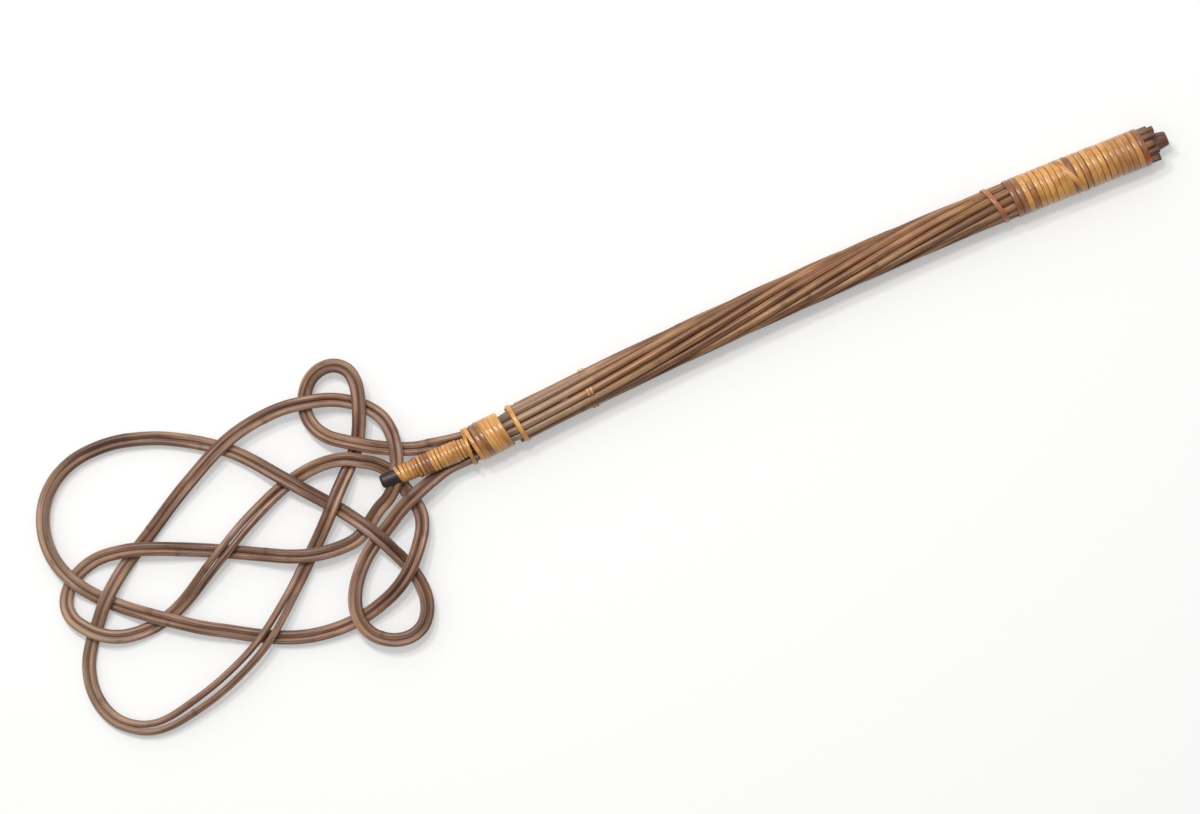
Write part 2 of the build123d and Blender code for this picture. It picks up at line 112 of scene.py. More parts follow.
# The doubled strand's centre line, as shares of the knot's length and half width
ROUTE = (
    (0.109, 0.129), (0.150, 0.180), (0.192, 0.245), (0.236, 0.331), (0.276, 0.413),
    (0.299, 0.505), (0.306, 0.627), (0.290, 0.743), (0.262, 0.822), (0.223, 0.852), (0.190, 0.825),
    (0.170, 0.752), (0.171, 0.635), (0.186, 0.505), (0.210, 0.370), (0.237, 0.263), (0.270, 0.171),
    (0.311, 0.064), (0.352, -0.050), (0.395, -0.158), (0.451, -0.290), (0.489, -0.380), (0.533, -0.478),
    (0.583, -0.582), (0.637, -0.672), (0.699, -0.748), (0.763, -0.807), (0.836, -0.852), (0.895, -0.876),
    (0.945, -0.862), (0.983, -0.806), (1.014, -0.720), (1.031, -0.606), (1.034, -0.458), (1.021, -0.323),
    (0.989, -0.180), (0.954, -0.072), (0.913, 0.040), (0.868, 0.140), (0.812, 0.238), (0.760, 0.317),
    (0.711, 0.395), (0.661, 0.471), (0.608, 0.543), (0.561, 0.605), (0.510, 0.661), (0.456, 0.699),
    (0.401, 0.716), (0.353, 0.716), (0.296, 0.689), (0.240, 0.642), (0.196, 0.570), (0.162, 0.480),
    (0.143, 0.388), (0.138, 0.275), (0.145, 0.160), (0.157, 0.070), (0.175, -0.020), (0.193, -0.080),
    (0.237, -0.144), (0.272, -0.205), (0.306, -0.263), (0.353, -0.277), (0.412, -0.256), (0.463, -0.212),
    (0.524, -0.128), (0.584, -0.038), (0.642, 0.046), (0.703, 0.131), (0.764, 0.210), (0.812, 0.262),
    (0.852, 0.288), (0.891, 0.301), (0.932, 0.286), (0.970, 0.242), (0.998, 0.173), (1.012, 0.089),
    (1.009, 0.002), (0.990, -0.085), (0.963, -0.165), (0.925, -0.228), (0.876, -0.257), (0.828, -0.253),
    (0.778, -0.220), (0.736, -0.170), (0.694, -0.106), (0.652, -0.042), (0.606, 0.024), (0.556, 0.097),
    (0.497, 0.170), (0.440, 0.230), (0.395, 0.260), (0.348, 0.276), (0.306, 0.272), (0.263, 0.243),
    (0.228, 0.185), (0.199, 0.126), (0.181, 0.060), (0.170, -0.020), (0.162, -0.100), (0.154, -0.190),
    (0.151, -0.265), (0.156, -0.340), (0.175, -0.430), (0.202, -0.522), (0.233, -0.602), (0.267, -0.665),
    (0.315, -0.718), (0.362, -0.750), (0.412, -0.762), (0.462, -0.754), (0.512, -0.728), (0.570, -0.668),
    (0.621, -0.593), (0.678, -0.494), (0.737, -0.389), (0.792, -0.274), (0.846, -0.158), (0.895, -0.046),
    (0.935, 0.070), (0.968, 0.212), (0.988, 0.350), (0.994, 0.497), (0.986, 0.628), (0.967, 0.746),
    (0.936, 0.846), (0.894, 0.921), (0.850, 0.960), (0.804, 0.970), (0.753, 0.959), (0.701, 0.921),
    (0.648, 0.864), (0.600, 0.790), (0.556, 0.710), (0.512, 0.612), (0.470, 0.487), (0.432, 0.350),
    (0.394, 0.210), (0.354, 0.062), (0.317, -0.075), (0.288, -0.195), (0.262, -0.330), (0.243, -0.461),
    (0.226, -0.590), (0.219, -0.700), (0.220, -0.805), (0.234, -0.905), (0.258, -0.974), (0.290, -0.999),
    (0.321, -0.986), (0.350, -0.943), (0.374, -0.870), (0.385, -0.778), (0.382, -0.676), (0.367, -0.580),
    (0.343, -0.488), (0.315, -0.412), (0.279, -0.342), (0.234, -0.276), (0.190, -0.209), (0.136, -0.150),
)

# Over or under at the first pass of each crossing, in the order of the strand
FIRST_PASS = "UOUOUOUOUOUOOUUUUUUOUO"

# Where the two canes stand apart: from and to, as shares of the strand, and the widest gap, as a
# share of a cane's width
OPEN_STRETCHES = ((0.131, 0.198, 0.50), (0.530, 0.578, 0.15))

# The ends of the head's canes, from inside the handle outwards. Each row has a share of the
# tail's length and one of the neck's, then the inner and the outer cane's place across and up,
# as shares of the ring's radius.
TAILS = (
    (1.00, 0.00, 0.255, -0.430, 0.506, 0.000),
    (0.66, 0.00, 0.255, -0.430, 0.506, 0.000),
    (0.33, 0.00, 0.255, -0.430, 0.506, 0.000),
    (0.00, 0.00, 0.260, -0.432, 0.512, -0.005),
    (0.00, 0.28, 0.300, -0.436, 0.580, -0.030),
    (0.00, 0.62, 0.420, -0.448, 0.765, -0.085),
)
UPPER_EXIT = (
    (0.00, 1.00, 0.610, -0.490, 0.985, -0.140),
    (0.00, 1.22, 0.700, -0.480, 1.153, -0.160),
    (0.00, 1.46, 0.885, -0.500, 1.362, -0.275),
)
LOWER_EXIT = (
    (0.00, 1.00, 0.538, -0.530, 0.780, -0.100),
    (0.00, 1.22, 0.519, -0.602, 0.738, -0.165),
    (0.00, 1.46, 0.559, -0.586, 0.752, -0.115),
    (0.00, 1.75, 0.578, -0.397, 0.945, 0.060),
)


# Lines that canes follow
def ease(share):
    share = min(max(share, 0), 1)
    return share * share * (3 - 2 * share)


def rising(value, start, length):
    """0 up to the start, 1 from a length further on, and smooth between."""
    return ease((value - start) / length)


def handle_centre(x):
    share = -x / HANDLE_LENGTH
    return Vector((x, 4 * HANDLE_BOW * share * (1 - share), (NECK_OUTER - GRIP_OUTER) * share))


def ring_radius_at(x):
    return RING_RADIUS_AT_GRIP + (RING_RADIUS - RING_RADIUS_AT_GRIP) * rising(-x, SWELL_START, SWELL_LENGTH)


def around(x, radius, angle):
    turn = math.radians(angle)
    return handle_centre(x) + Vector((0, radius * math.cos(turn), radius * math.sin(turn)))


def tangents_through(points):
    found = []
    for i in range(1, len(points) - 1):
        before = points[i] - points[i - 1]
        after = points[i + 1] - points[i]
        mixed = before.normalized() * after.length + after.normalized() * before.length
        found.append(mixed.normalized())
    start = ((points[1] - points[0]).normalized() * 2 - found[0]).normalized()
    end = ((points[-1] - points[-2]).normalized() * 2 - found[-1]).normalized()
    return [start] + found + [end]


def smooth(points, step):
    """Points about a step apart on a smooth line through the given ones."""
    tangents = tangents_through(points)
    line = [points[0]]
    for a, b, leave, arrive in zip(points, points[1:], tangents, tangents[1:]):
        chord = (b - a).length
        count = max(1, round(chord / step))
        for k in range(1, count + 1):
            t = k / count
            line.append(a * (2 * t ** 3 - 3 * t ** 2 + 1) + leave * (chord * (t ** 3 - 2 * t ** 2 + t))
                        + b * (3 * t ** 2 - 2 * t ** 3) + arrive * (chord * (t ** 3 - t ** 2)))
    return line


def running_lengths(points):
    lengths = [0]
    for a, b in zip(points, points[1:]):
        lengths.append(lengths[-1] + (b - a).length)
    return lengths


def evenly_along(points, count):
    """That many points at even lengths along the line."""
    lengths = running_lengths(points)
    result = []
    i = 0
    for k in range(count):
        wanted = lengths[-1] * k / (count - 1)
        while i < len(points) - 2 and lengths[i + 1] < wanted:
            i += 1
        share = (wanted - lengths[i]) / (lengths[i + 1] - lengths[i])
        result.append(points[i].lerp(points[i + 1], share))
    return result


def crossings(points):
    lengths = running_lengths(points)
    found = []
    for i in range(len(points) - 1):
        p, r = points[i], points[i + 1] - points[i]
        for j in range(i + 2, len(points) - 1):
            q, s = points[j], points[j + 1] - points[j]
            cross = r.x * s.y - r.y * s.x
            if cross == 0:
                continue
            gap = q - p
            t = (gap.x * s.y - gap.y * s.x) / cross
            u = (gap.x * r.y - gap.y * r.x) / cross
            if 0 <= t < 1 and 0 <= u < 1:
                sine = abs(cross) / (r.length * s.length)
                found.append((lengths[i] + t * r.length, lengths[j] + u * s.length, sine))
    return sorted(found)


def level_marks(points):
    marks = []
    for (first, second, sine), letter in zip(crossings(points), FIRST_PASS):
        level = 1 if letter == "O" else -1
        cosine = math.sqrt(max(0, 1 - sine * sine))
        flat = PAIR_HALF_PITCH * (1 + cosine) / sine
        marks.append((first, level, flat))
        marks.append((second, -level, flat))
    length = running_lengths(points)[-1]
    return [(0, -1, PAIR_HALF_PITCH)] + sorted(marks) + [(length, 1, PAIR_HALF_PITCH)]


def level_at(length, marks):
    for (a, level_a, flat_a), (b, level_b, flat_b) in zip(marks, marks[1:]):
        if a <= length <= b:
            fit = min(1, (b - a) / 2 / (flat_a + flat_b))
            start, end = a + flat_a * fit, b - flat_b * fit
            return level_a + (level_b - level_a) * ease((length - start) / (end - start))
    return marks[-1][1]


def knot_middle(x):
    at_neck = handle_centre(NECK_FRONT).z - KNOT_DROP
    at_far = TABLE + CANE_RADIUS + LEVEL
    return at_neck + (at_far - at_neck) * min((NECK_FRONT - x) / KNOT_LENGTH, 1)


def opening_at(share):
    for start, end, wide in OPEN_STRETCHES:
        if start < share < end:
            return wide * CANE / 2 * math.sin(math.pi * (share - start) / (end - start))
    return 0


def tail(side, outer):
    placed = []
    for inside, outside, in_y, in_z, out_y, out_z in TAILS + (UPPER_EXIT if side > 0 else LOWER_EXIT):
        across, up = (out_y, out_z) if outer else (in_y, in_z)
        x = -(HANDLE_LENGTH - TAIL_LENGTH * inside + NECK_LENGTH * outside)
        placed.append(handle_centre(x) + Vector((0, side * across * RING_RADIUS, up * RING_RADIUS)))
    return placed


def head_cane_line(outer):
    plan = [Vector((NECK_FRONT - a * KNOT_LENGTH, b * KNOT_HALF_WIDTH, 0)) for a, b in ROUTE]
    dense = smooth(plan, PLAN_STEP)
    line = evenly_along(dense, HEAD_STEPS + 1)
    fine = evenly_along(dense, 2 * HEAD_STEPS + 1)
    marks = level_marks(fine)
    length = running_lengths(fine)[-1]
    side = -1 if outer else 1
    headings = tangents_through(line)
    points = tail(1, outer)
    for k, (centre, heading) in enumerate(zip(line, headings)):
        share = k / HEAD_STEPS
        offset = side * (PAIR_HALF_SEEN + opening_at(share))
        x, y = centre.x - heading.y * offset, centre.y + heading.x * offset
        points.append(Vector((x, y, knot_middle(x) + level_at(share * length, marks) * LEVEL)))
    return smooth(points + tail(-1, outer)[::-1], HEAD_STEP)


def handle_cane_line(number):
    start = -(BUTT_RECESS - BUTT_STAGGER * BUTT_SHARES[number])
    end = -(HANDLE_LENGTH - NECK_END_RECESS + NECK_END_STAGGER * NECK_SHARES[number])
    points = []
    for k in range(HANDLE_STEPS + 1):
        x = start + (end - start) * k / HANDLE_STEPS
        turned = TWIST * (1 - math.cos(math.pi * min(-x / HANDLE_LENGTH, 1))) / 2
        drawn_in = NECK_DRAW * rising(-x, *NECK_DRAW_STRETCH)
        points.append(around(x, ring_radius_at(x) - drawn_in, 360 * number / HANDLE_CANES + turned))
    return points


# Node trees
class Tree:
    """Builds a node tree: values go in as numbers, and sockets are joined."""

    def __init__(self, tree):
        self.tree = tree

    def node(self, kind, inputs=(), **settings):
        made = self.tree.nodes.new(kind)
        for name, value in settings.items():
            setattr(made, name, value)
        for key, value in dict(inputs).items():
            socket = made.inputs[key]
            if isinstance(value, bpy.types.NodeSocket):
                self.tree.links.new(value, socket)
            else:
                socket.default_value = value
        return made

    def math(self, operation, *values, clamp=False):
        made = self.node("ShaderNodeMath", dict(enumerate(values)), operation=operation, use_clamp=clamp)
        return made.outputs[0]

    def vector(self, operation, *values):
        made = self.node("ShaderNodeVectorMath", dict(enumerate(values)), operation=operation)
        return made.outputs[0]

    def combine(self, x, y, z):
        return self.node("ShaderNodeCombineXYZ", {0: x, 1: y, 2: z}).outputs[0]

    def join(self, a, b):
        self.tree.links.new(a, b)


def shape_tree(name, sizes):
    """A geometry node tree with named inputs for its sizes."""
    group = bpy.data.node_groups.new(name, "GeometryNodeTree")
    face = group.interface
    face.new_socket("Geometry", in_out="OUTPUT", socket_type="NodeSocketGeometry")
    face.new_socket("Geometry", in_out="INPUT", socket_type="NodeSocketGeometry")
    for size, (kind, default) in sizes.items():
        socket = face.new_socket(size, in_out="INPUT", socket_type=kind)
        if default is not None:
            socket.default_value = default
    tree = Tree(group)
    given = tree.node("NodeGroupInput")
    result = tree.node("NodeGroupOutput")
    return group, tree, given.outputs, result.inputs


def named(tree, name, kind="FLOAT"):
    return tree.node("GeometryNodeInputNamedAttribute", {"Name": name}, data_type=kind).outputs["Attribute"]


def store(tree, geometry, name, value, kind="FLOAT"):
    made = tree.node("GeometryNodeStoreNamedAttribute", {"Geometry": geometry, "Name": name, "Value": value},
                     data_type=kind, domain="POINT")
    return made.outputs["Geometry"]


def unit_ring(tree, sides):
    return tree.node("GeometryNodeCurvePrimitiveCircle", {"Resolution": sides, "Radius": 1.0}).outputs[0]


def scaled(tree, vector, factor):
    made = tree.node("ShaderNodeVectorMath", {"Vector": vector, "Scale": factor}, operation="SCALE")
    return made.outputs[0]


def closing(tree, mesh, material, result):
    """Leaves out the working values, and gives the piece its material."""
    plain = mesh
    for name in ("ring", "centre", "outward", "side", "broad", "high"):
        plain = tree.node("GeometryNodeRemoveAttribute", {"Geometry": plain, "Name": name}).outputs[0]
    real = tree.node("GeometryNodeRealizeInstances", {"Geometry": plain}).outputs[0]
    coated = tree.node("GeometryNodeSetMaterial", {"Geometry": real, "Material": material}).outputs[0]
    tree.join(coated, result["Geometry"])


def bent_cane_tree():
    """A peeled cane along a line: a little uneven, with a low knot here and there."""
    group, tree, given, result = shape_tree("bent cane", {
        "Radius": ("NodeSocketFloat", 0.0028), "Ring spacing": ("NodeSocketFloat", 0.003),
        "Sides": ("NodeSocketInt", 16), "Unevenness": ("NodeSocketFloat", 0.04),
        "Drift scale": ("NodeSocketFloat", 30.0), "Knot half length": ("NodeSocketFloat", 0.0028),
        "Knot spacing": ("NodeSocketFloat", 0.19), "Knot swell": ("NodeSocketFloat", 0.0002),
        "Start": ("NodeSocketFloat", 0.0), "Material": ("NodeSocketMaterial", None)})
    line = tree.node("GeometryNodeMeshToCurve", {"Mesh": given["Geometry"]}).outputs[0]
    line = tree.node("GeometryNodeResampleCurve", {"Curve": line, "Length": given["Ring spacing"]},
                     mode="LENGTH").outputs[0]
    length = tree.node("GeometryNodeSplineParameter").outputs["Length"]
    along = tree.math("ADD", length, given["Start"])
    line = store(tree, line, "along", along)
    along = named(tree, "along")
    drift = tree.node("ShaderNodeTexNoise", {"W": along, "Scale": given["Drift scale"], "Detail": 2.0},
                      noise_dimensions="1D").outputs["Fac"]
    uneven = tree.math("MULTIPLY", tree.math("SUBTRACT", drift, 0.5), given["Unevenness"])
    phase = tree.math("FRACT", tree.math("DIVIDE", along, given["Knot spacing"]))
    off = tree.math("ABSOLUTE", tree.math("SUBTRACT", phase, 0.5))
    off = tree.math("MULTIPLY", off, given["Knot spacing"])
    near = tree.math("SUBTRACT", 1.0, tree.math("DIVIDE", off, given["Knot half length"]), clamp=True)
    line = store(tree, line, "knot", near)
    swell = tree.math("MULTIPLY", named(tree, "knot"), given["Knot swell"])
    radius = tree.math("ADD", tree.math("MULTIPLY", given["Radius"], tree.math("ADD", uneven, 1.0)), swell)
    ring = unit_ring(tree, given["Sides"])
    ring = store(tree, ring, "ring", tree.node("GeometryNodeInputPosition").outputs[0], "FLOAT_VECTOR")
    mesh = tree.node("GeometryNodeCurveToMesh", {"Curve": line, "Profile Curve": ring, "Scale": radius,
                                                 "Fill Caps": True}).outputs[0]
    parts = tree.node("ShaderNodeSeparateXYZ", {0: named(tree, "ring", "FLOAT_VECTOR")}).outputs
    place = tree.combine(tree.math("MULTIPLY", parts[0], given["Radius"]),
                         tree.math("MULTIPLY", parts[1], given["Radius"]), named(tree, "along"))
    mesh = store(tree, mesh, "cane_place", place, "FLOAT_VECTOR")
    closing(tree, mesh, given["Material"], result)
    return group


def wound_strip_tree():
    """A split cane strip along a line that is already wound: flat below, with a crowned back."""
    group, tree, given, result = shape_tree("wound strip", {
        "Sides": ("NodeSocketInt", 14), "Crown": ("NodeSocketFloat", 0.75), "Flat": ("NodeSocketFloat", 0.35),
        "First size": ("NodeSocketFloat", 0.0005),
        "Start": ("NodeSocketFloat", 0.0), "Material": ("NodeSocketMaterial", None)})
    line = tree.node("GeometryNodeMeshToCurve", {"Mesh": given["Geometry"]}).outputs[0]
    line = store(tree, line, "centre", tree.node("GeometryNodeInputPosition").outputs[0], "FLOAT_VECTOR")
    tangent = tree.node("GeometryNodeInputTangent").outputs[0]
    outward = named(tree, "outward", "FLOAT_VECTOR")
    side = tree.vector("NORMALIZE", tree.vector("CROSS_PRODUCT", tangent, outward))
    line = store(tree, line, "side", side, "FLOAT_VECTOR")
    along = tree.math("ADD", tree.node("GeometryNodeSplineParameter").outputs["Length"], given["Start"])
    line = store(tree, line, "along", along)
    ring = unit_ring(tree, given["Sides"])
    parts = tree.node("ShaderNodeSeparateXYZ", {0: tree.node("GeometryNodeInputPosition").outputs[0]}).outputs
    wide = tree.math("MULTIPLY", tree.math("SIGN", parts[0]),
                     tree.math("POWER", tree.math("ABSOLUTE", parts[0]), given["Crown"]))
    tall = tree.math("MAXIMUM", parts[1], tree.math("MULTIPLY", given["Flat"], -1.0))
    ring = store(tree, ring, "ring", tree.combine(wide, tall, 0.0), "FLOAT_VECTOR")
    mesh = tree.node("GeometryNodeCurveToMesh", {"Curve": line, "Profile Curve": ring,
                                                 "Scale": given["First size"], "Fill Caps": True}).outputs[0]
    parts = tree.node("ShaderNodeSeparateXYZ", {0: named(tree, "ring", "FLOAT_VECTOR")}).outputs
    across = tree.math("MULTIPLY", parts[0], named(tree, "broad"))
    up = tree.math("MULTIPLY", parts[1], named(tree, "high"))
    sideways = scaled(tree, named(tree, "side", "FLOAT_VECTOR"), across)
    lifted = scaled(tree, named(tree, "outward", "FLOAT_VECTOR"), up)
    spot = tree.vector("ADD", named(tree, "centre", "FLOAT_VECTOR"), tree.vector("ADD", sideways, lifted))
    mesh = store(tree, mesh, "cane_place", tree.combine(across, up, named(tree, "along")), "FLOAT_VECTOR")
    mesh = store(tree, mesh, "edge", tree.math("ABSOLUTE", parts[0]))
    mesh = tree.node("GeometryNodeSetPosition", {"Geometry": mesh, "Position": spot}).outputs[0]
    closing(tree, mesh, given["Material"], result)
    return group


BENT_CANE = bent_cane_tree()
WOUND_STRIP = wound_strip_tree()
SHARP_EDGE = 50


# From a line to a piece
def line_object(name, points, fields):
    """A chain of points in metres, with the values that the tree reads at each point."""
    mesh = bpy.data.meshes.new(name + " line")
    mesh.from_pydata([p * MM for p in points], [(i, i + 1) for i in range(len(points) - 1)], [])
    for field, values in fields.items():
        vector = isinstance(values[0], Vector)
        layer = mesh.attributes.new(field, "FLOAT_VECTOR" if vector else "FLOAT", "POINT")
        for item, value in zip(layer.data, values):
            if vector:
                item.vector = value
            else:
                item.value = value
    made = bpy.data.objects.new(name + " line", mesh)
    bpy.context.scene.collection.objects.link(made)
    return made


def grow(name, points, fields, group, sizes):
    """Runs the tree on the line and keeps the result as a plain mesh."""
    line = line_object(name, points, fields)
    growth = line.modifiers.new("growth", "NODES")
    growth.node_group = group
    for item in group.interface.items_tree:
        if item.in_out == "INPUT" and item.name in sizes:
            growth[item.identifier] = sizes[item.name]
    seen = line.evaluated_get(bpy.context.evaluated_depsgraph_get())
    mesh = bpy.data.meshes.new_from_object(seen)
    bpy.data.objects.remove(line)
    mesh.name = name
    tidy = bmesh.new()
    tidy.from_mesh(mesh)
    bmesh.ops.recalc_face_normals(tidy, faces=tidy.faces)
    tidy.to_mesh(mesh)
    tidy.free()
    for polygon in mesh.polygons:
        polygon.use_smooth = True
    mesh.set_sharp_from_angle(angle=math.radians(SHARP_EDGE))
    piece = bpy.data.objects.new(name, mesh)
    bpy.context.scene.collection.objects.link(piece)
    return piece


def joined(name, pieces):
    """Several grown pieces as one."""
    whole = bmesh.new()
    for piece in pieces:
        whole.from_mesh(piece.data)
    mesh = bpy.data.meshes.new(name)
    for material in pieces[0].data.materials:
        mesh.materials.append(material)
    whole.to_mesh(mesh)
    whole.free()
    for piece in pieces:
        bpy.data.objects.remove(piece)
    made = bpy.data.objects.new(name, mesh)
    bpy.context.scene.collection.objects.link(made)
    return made


def declare(piece, node):
    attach(piece, "root")
    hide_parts(node)


# Finishes
def rgb(red, green, blue):
    """A colour as it is seen, 0 to 255, as the shader wants it."""
    def straight(value):
        value /= 255
        return value / 12.92 if value <= 0.04045 else ((value + 0.055) / 1.055) ** 2.4
    return (straight(red), straight(green), straight(blue), 1)


def new_material(name):
    material = bpy.data.materials.new(name)
    material.use_nodes = True
    tree = Tree(material.node_tree)
    shader = material.node_tree.nodes["Principled BSDF"]
    return material, tree, shader


def ramp(tree, value, stops):
    made = tree.node("ShaderNodeValToRGB", {"Fac": value})
    band = made.color_ramp
    while len(band.elements) < len(stops):
        band.elements.new(0.5)
    for element, (place, colour) in zip(band.elements, stops):
        element.position = place
        element.color = colour
    return made.outputs[0]


def mix(tree, share, a, b, how="MIX"):
    made = tree.node("ShaderNodeMix", {0: share, 6: a, 7: b}, data_type="RGBA", blend_type=how)
    return made.outputs[2]


def grain(tree, place, stretch, scale, detail, roughness):
    return tree.node("ShaderNodeTexNoise", {"Vector": tree.vector("MULTIPLY", place, stretch), "Scale": scale,
                                            "Detail": detail, "Roughness": roughness}).outputs["Fac"]


def given_at(tree, name):
    """What the piece's mesh says under that name, as one value."""
    return tree.node("ShaderNodeAttribute", attribute_name=name).outputs["Fac"]


def roughen(tree, shader, height, strength, depth):
    bump = tree.node("ShaderNodeBump", {"Height": height, "Strength": strength, "Distance": depth})
    tree.join(bump.outputs[0], shader.inputs["Normal"])


# Grain of the canes and strips, as stretch, scale, detail and roughness
CANE_LINES = ((1.0, 1.0, 0.012), 900.0, 4.0, 0.6)
CANE_STREAKS = ((1.0, 1.0, 0.06), 230.0, 3.0, 0.6)
CANE_CLOUDS = ((0.3, 0.3, 1.0), 17.0, 3.0, 0.6)
CANE_HUES = ((0.5, 0.5, 1.0), 24.0, 2.0, 0.5)
CANE_MARKS = ((1.0, 1.0, 0.2), 520.0, 2.0, 0.5)
STRIP_LINES = ((1.0, 1.0, 0.02), 1500.0, 3.0, 0.6)
STRIP_CLOUDS = ((0.6, 0.6, 1.0), 45.0, 3.0, 0.6)
STRIP_BLOTCHES = ((1.0, 1.0, 0.5), 260.0, 3.0, 0.6)
MARK_LIMIT = 0.64
KNOT_DIRT = 0.55
END_DARKENING = 0.75
# Where a strip's painted shade begins, as a share of its half width
EDGE_SHADE_START = 0.80
EMBER = rgb(184, 70, 32)


def cane_finish(name, dark, middle, light, warm, cool, gloss, knot_colour, pale):
    """Peeled cane: long fine streaks, slow changes of hue, small dark marks, darker knots, painted shade at
    its ends.
    """
    material, tree, shader = new_material(name)
    place = tree.node("ShaderNodeAttribute", attribute_name="cane_place").outputs["Vector"]
    fine = grain(tree, place, *CANE_LINES)
    broad = grain(tree, place, *CANE_STREAKS)
    slow = grain(tree, place, *CANE_CLOUDS)
    streak = tree.math("ADD", tree.math("MULTIPLY", fine, 0.5), tree.math("MULTIPLY", broad, 0.45))
    streak = tree.math("ADD", streak, tree.math("MULTIPLY", slow, 0.3))
    tone = ramp(tree, streak, [(0.50, dark), (0.625, middle), (0.76, light)])
    drift = tree.math("SUBTRACT", grain(tree, place, *CANE_HUES), 0.5)
    hue = tree.math("ADD", given_at(tree, "tone"), tree.math("MULTIPLY", drift, 4.0), clamp=True)
    tint = mix(tree, hue, cool, warm)
    tone = mix(tree, 1.0, tone, tint, "MULTIPLY")
    uneven = tree.math("ADD", tree.math("MULTIPLY", broad, 1.6), -0.2)
    tone = mix(tree, tree.math("MULTIPLY", given_at(tree, "bleached"), uneven, clamp=True), tone, pale)
    mark = tree.math("SUBTRACT", grain(tree, place, *CANE_MARKS), MARK_LIMIT)
    tone = mix(tree, tree.math("MULTIPLY", mark, 5.0, clamp=True), tone, knot_colour)
    # Knots are darker, and so are the canes' ends, where the darkening is painted shade together with the cut
    # ends' own darker tone.
    knot_and_end_darkening = tree.math("MAXIMUM", tree.math("MULTIPLY", given_at(tree, "knot"), KNOT_DIRT),
                     tree.math("MULTIPLY", given_at(tree, "darker_ends"), END_DARKENING))
    tone = mix(tree, knot_and_end_darkening, tone, knot_colour)
    tree.join(tone, shader.inputs["Base Color"])
    rough = tree.math("ADD", gloss - 0.08, tree.math("MULTIPLY", broad, 0.16))
    tree.join(rough, shader.inputs["Roughness"])
    roughen(tree, shader, fine, 0.4, 0.0003)
    return material


def strip_finish(name, dark, middle, light, patch, edge_shade_colour, gloss):
    """Glossy split cane: fine lines along it, red-brown patches where the tone says, red past 1, painted
    shade along its edges.
    """
    material, tree, shader = new_material(name)
    place = tree.node("ShaderNodeAttribute", attribute_name="cane_place").outputs["Vector"]
    fine = grain(tree, place, *STRIP_LINES)
    slow = grain(tree, place, *STRIP_CLOUDS)
    body = ramp(tree, tree.math("ADD", tree.math("MULTIPLY", fine, 0.4), tree.math("MULTIPLY", slow, 0.6)),
                [(0.38, dark), (0.50, middle), (0.66, light)])
    own = given_at(tree, "tone")
    blotch = tree.math("SUBTRACT", grain(tree, place, *STRIP_BLOTCHES), 0.5)
    share = tree.math("ADD", own, tree.math("MULTIPLY", blotch, 0.8), clamp=True)
    patch_line = tuple(part * 0.55 for part in patch[:3]) + (1,)
    lines = ramp(tree, fine, [(0.35, patch_line), (0.6, patch)])
    tone = mix(tree, share, body, lines)
    ember = tree.math("SUBTRACT", own, 1.0, clamp=True)
    tone = mix(tree, ember, tone, EMBER)
    # Painted shade: each strip darkens towards its edges, where the turns meet and shade each other.
    edge_shade = tree.math("MULTIPLY", tree.math("SUBTRACT", given_at(tree, "edge"), EDGE_SHADE_START), 4.0, clamp=True)
    tone = mix(tree, tree.math("MULTIPLY", edge_shade, 0.8), tone, edge_shade_colour)
    tree.join(tone, shader.inputs["Base Color"])
    shader.inputs["Roughness"].default_value = gloss
    shader.inputs["Specular IOR Level"].default_value = 0.3
    shader.inputs["Coat Weight"].default_value = 0.6
    shader.inputs["Coat Roughness"].default_value = 0.22
    roughen(tree, shader, fine, 0.3, 0.0002)
    return material


def stick_finish(name, dark, light, gloss, stretch):
    """A stick's bark or cut wood, on the object's own coordinates."""
    material, tree, shader = new_material(name)
    place = tree.node("ShaderNodeTexCoord").outputs["Object"]
    lines = grain(tree, place, (stretch, 1.0, 1.0), 700.0, 4.0, 0.6)
    tone = ramp(tree, lines, [(0.35, dark), (0.68, light)])
    tree.join(tone, shader.inputs["Base Color"])
    shader.inputs["Roughness"].default_value = gloss
    roughen(tree, shader, lines, 0.3, 0.0003)
    return material


HEAD = cane_finish("head cane", dark=rgb(80, 59, 48), middle=rgb(130, 99, 81), light=rgb(190, 160, 140),
                   warm=rgb(255, 240, 222), cool=rgb(246, 236, 240), gloss=0.42,
                   knot_colour=rgb(60, 42, 33), pale=rgb(190, 160, 132))
HANDLE = cane_finish("handle cane", dark=rgb(94, 66, 44), middle=rgb(146, 108, 75), light=rgb(200, 162, 124),
                     warm=rgb(255, 241, 218), cool=rgb(222, 196, 186), gloss=0.40,
                     knot_colour=rgb(66, 44, 34), pale=rgb(176, 148, 122))
AMBER = strip_finish("split cane", dark=rgb(170, 106, 50), middle=rgb(220, 158, 82), light=rgb(238, 190, 116),
                     patch=rgb(144, 88, 60), edge_shade_colour=rgb(80, 44, 22), gloss=0.36)
RED = strip_finish("red band", dark=rgb(140, 78, 50), middle=rgb(176, 108, 72), light=rgb(206, 142, 100),
                   patch=rgb(120, 66, 44), edge_shade_colour=rgb(80, 42, 28), gloss=0.36)
BLACK = stick_finish("dark stick", dark=rgb(34, 22, 26), light=rgb(62, 44, 46), gloss=0.38, stretch=0.15)
CORE = stick_finish("core stick", dark=rgb(74, 44, 36), light=rgb(130, 84, 68), gloss=0.5, stretch=0.08)
TIE = stick_finish("mid tie", dark=rgb(176, 118, 66), light=rgb(224, 170, 110), gloss=0.4, stretch=0.3)


# The canes
CANE_TONES = (0.3, 0.9, 0.1, 0.6, 0.0, 0.8, 0.4, 1.0, 0.2, 0.7, 0.1, 0.5)
CANE_UNEVENNESS = 0.05
KNOT_SWELL = 0.00016
LEAST_KNOTS = 0.17
KNOTS_STEP = 0.009
FIRST_GRAIN = 10.0
GRAIN_STEP = 1.7

